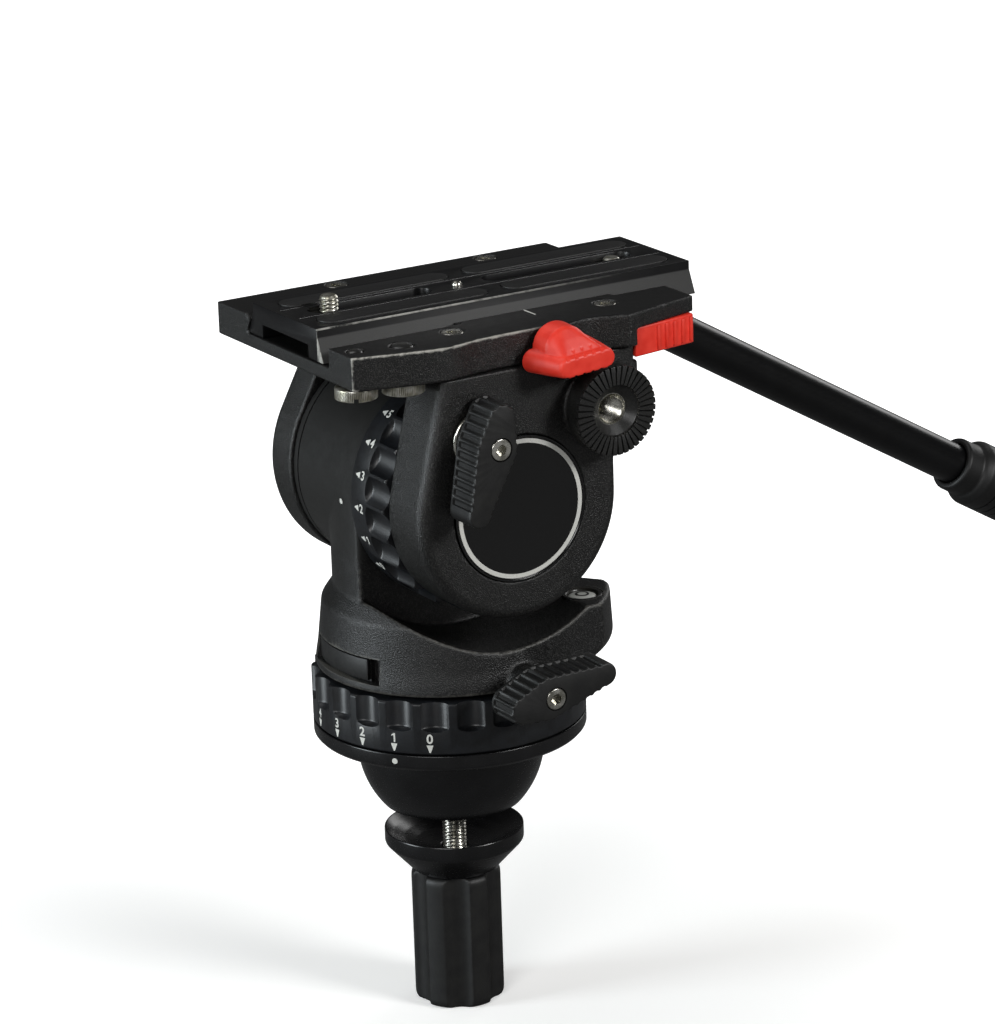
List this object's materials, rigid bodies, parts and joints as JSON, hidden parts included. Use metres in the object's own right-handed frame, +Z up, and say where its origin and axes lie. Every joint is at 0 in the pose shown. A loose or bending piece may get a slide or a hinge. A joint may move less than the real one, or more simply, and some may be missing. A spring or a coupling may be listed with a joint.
{
  "type": "fluid head",
  "caption": "Fluid head for a camera tripod, with a half ball and clamp, pan and tilt drag rings, brake levers, a sliding camera plate and a pan bar.",
  "frame": {"origin": "centre of the half ball, on the pan axis", "axes": "+Z up along the pan axis, -X towards the lens, +Y to the operator's right, where the pan bar is"},
  "size_m": [0.4904, 0.1941, 0.3045],
  "materials": {
    "crinkle_paint": "fine black crinkle paint on cast aluminium",
    "black_anodised": "satin black anodised",
    "black_plastic": "finely textured black moulding",
    "black_rubber": "matt black rubber",
    "red_plastic": "bright red moulding",
    "stainless_steel": "turned, lightly polished",
    "gloss_black": "gloss black disc with a bright ring",
    "vial": "clear vial with pale green liquid"
  },
  "bodies": {
    "base": {"half_ball": "black_anodised", "base_plate": "black_anodised", "tie_down_stud": "stainless_steel", "pan_spindle": "stainless_steel"},
    "clamp": {"clamp_cup": "black_anodised"},
    "knob": {"tie_down_knob": "black_plastic"},
    "pan_ring": {"pan_drag_ring": "black_plastic"},
    "pan_unit": {"pan_housing": "crinkle_paint", "pan_damper": "black_anodised", "pan_bearing_lower": "stainless_steel", "pan_bearing_upper": "stainless_steel", "bubble_bezel": "stainless_steel", "bubble_vial": "vial", "tilt_damper": "black_anodised", "balance_spring": "stainless_steel", "tilt_bearing_near": "stainless_steel", "tilt_bearing_far": "stainless_steel"},
    "battery_lid": {"battery_cover": "black_plastic"},
    "pan_brake": {"pan_brake_lever": "black_plastic", "pan_brake_screw": "stainless_steel"},
    "tilt_ring": {"tilt_drag_ring": "black_plastic"},
    "tilt_unit": {"tilt_axle": "stainless_steel", "near_cheek": "crinkle_paint", "far_cheek": "crinkle_paint", "badge": "gloss_black", "near_rosette": "black_anodised", "far_rosette": "black_anodised", "tilt_brake_collar": "stainless_steel", "carrier": "crinkle_paint", "carrier_screw_1": "stainless_steel", "carrier_screw_2": "stainless_steel", "carrier_screw_3": "stainless_steel", "carrier_screw_4": "stainless_steel", "latch_pin": "stainless_steel"},
    "balance_knob": {"counterbalance_knob": "black_plastic"},
    "tilt_brake": {"tilt_brake_lever": "black_plastic", "tilt_brake_screw": "stainless_steel"},
    "plate_lock": {"plate_lock_lever": "red_plastic"},
    "clamp_jaw": {"clamp_bar": "stainless_steel"},
    "latch": {"release_latch": "red_plastic"},
    "plate": {"camera_plate": "black_anodised", "pad_front_near": "black_rubber", "pad_front_far": "black_rubber", "pad_rear_near": "black_rubber", "pad_rear_far": "black_rubber", "locating_pin": "stainless_steel"},
    "front_slider": {"screw_slider_front": "black_anodised"},
    "front_screw": {"camera_screw_front": "stainless_steel"},
    "rear_slider": {"screw_slider_rear": "black_anodised"},
    "rear_screw": {"camera_screw_rear": "stainless_steel"},
    "large_spare": {"spare_screw_large": "stainless_steel"},
    "small_spare": {"spare_screw_small": "stainless_steel"},
    "pan_bar": {"bar_rosette": "black_anodised", "bar_socket": "crinkle_paint", "bar_tube": "black_anodised", "bar_grip": "black_rubber", "bar_cap": "black_plastic"},
    "bar_clamp": {"bar_knob": "black_plastic"}
  },
  "joints": [
    {"name": "clamp_lift", "type": "slide", "parent": "base", "child": "clamp", "axis": [0, 0, 1], "range_m": [-0.0045, 0.003]},
    {"name": "knob_turn", "type": "hinge", "parent": "clamp", "child": "knob", "pos_m": [0, 0, -0.08], "axis": [0, 0, 1], "range_deg": [-1081, 721]},
    {"name": "pan_drag_setting", "type": "hinge", "parent": "base", "child": "pan_ring", "pos_m": [0, 0, 0.023], "axis": [0, 0, 1], "range_deg": [-15, 60]},
    {"name": "pan", "type": "hinge", "parent": "base", "child": "pan_unit", "pos_m": [0, 0, 0.06], "axis": [0, 0, 1], "continuous": true},
    {"name": "battery_lid_slide", "type": "hinge", "parent": "pan_unit", "child": "battery_lid", "pos_m": [0, 0, 0.0435], "axis": [0, 0, 1], "range_deg": [0, 6.5]},
    {"name": "pan_brake_turn", "type": "hinge", "parent": "pan_unit", "child": "pan_brake", "pos_m": [0.003, -0.0617, 0.0378], "axis": [0, -1, 0], "range_deg": [0, 60]},
    {"name": "tilt_drag_setting", "type": "hinge", "parent": "pan_unit", "child": "tilt_ring", "pos_m": [0, -0.022, 0.1108], "axis": [0, -1, 0], "range_deg": [-32, 48]},
    {"name": "tilt", "type": "hinge", "parent": "pan_unit", "child": "tilt_unit", "pos_m": [0, 0, 0.1108], "axis": [0, 1, 0], "range_deg": [-90, 75]},
    {"name": "counterbalance_setting", "type": "hinge", "parent": "tilt_unit", "child": "balance_knob", "pos_m": [0, 0.064, 0.1108], "axis": [0, 1, 0], "range_deg": [0, 270]},
    {"name": "tilt_brake_turn", "type": "hinge", "parent": "tilt_unit", "child": "tilt_brake", "pos_m": [-0.018, -0.0617, 0.1415], "axis": [0, 1, 0], "range_deg": [0, 75]},
    {"name": "plate_lock_turn", "type": "hinge", "parent": "tilt_unit", "child": "plate_lock", "pos_m": [0.0165, -0.0598, 0.173], "axis": [0, -1, 0], "range_deg": [0, 65.1]},
    {"name": "clamp_jaw_slide", "type": "slide", "parent": "tilt_unit", "child": "clamp_jaw", "axis": [0, -1, 0], "range_m": [0, 0.002]},
    {"name": "latch_press", "type": "hinge", "parent": "tilt_unit", "child": "latch", "pos_m": [0.0574, -0.0562, 0.1675], "axis": [0, 0, 1], "range_deg": [0, 4], "stiffness_Nm_per_rad": 0.06},
    {"name": "plate_slide", "type": "slide", "parent": "tilt_unit", "child": "plate", "axis": [1, 0, 0], "range_m": [-0.061, 0.043]},
    {"name": "front_screw_slide", "type": "slide", "parent": "plate", "child": "front_slider", "axis": [1, 0, 0], "range_m": [-0.0038, 0.0398]},
    {"name": "front_screw_turn", "type": "hinge", "parent": "front_slider", "child": "front_screw", "pos_m": [-0.047, 0, 0.175], "axis": [0, 0, 1], "continuous": true},
    {"name": "rear_screw_slide", "type": "slide", "parent": "plate", "child": "rear_slider", "axis": [1, 0, 0], "range_m": [-0.0545, 0.0033]},
    {"name": "rear_screw_turn", "type": "hinge", "parent": "rear_slider", "child": "rear_screw", "pos_m": [0.0815, 0, 0.175], "axis": [0, 0, 1], "continuous": true},
    {"name": "large_spare_turn", "type": "hinge", "parent": "tilt_unit", "child": "large_spare", "pos_m": [-0.0428, -0.0477, 0.17], "axis": [0, 0, 1], "continuous": true},
    {"name": "small_spare_turn", "type": "hinge", "parent": "tilt_unit", "child": "small_spare", "pos_m": [-0.061, -0.0439, 0.17], "axis": [0, 0, 1], "continuous": true},
    {"name": "bar_swing", "type": "hinge", "parent": "tilt_unit", "child": "pan_bar", "pos_m": [0.0362, 0.088, 0.1462], "axis": [0, 1, 0], "continuous": true},
    {"name": "bar_clamp_turn", "type": "hinge", "parent": "pan_bar", "child": "bar_clamp", "pos_m": [0.0362, 0.107, 0.1462], "axis": [0, 1, 0], "continuous": true}
  ],
  "couplings": [
    {"joint": "knob_turn", "follows": "clamp_lift", "rad_per_m": 4188.8},
    {"joint": "plate_lock_turn", "follows": "clamp_jaw_slide", "rad_per_m": 567.2}
  ]
}
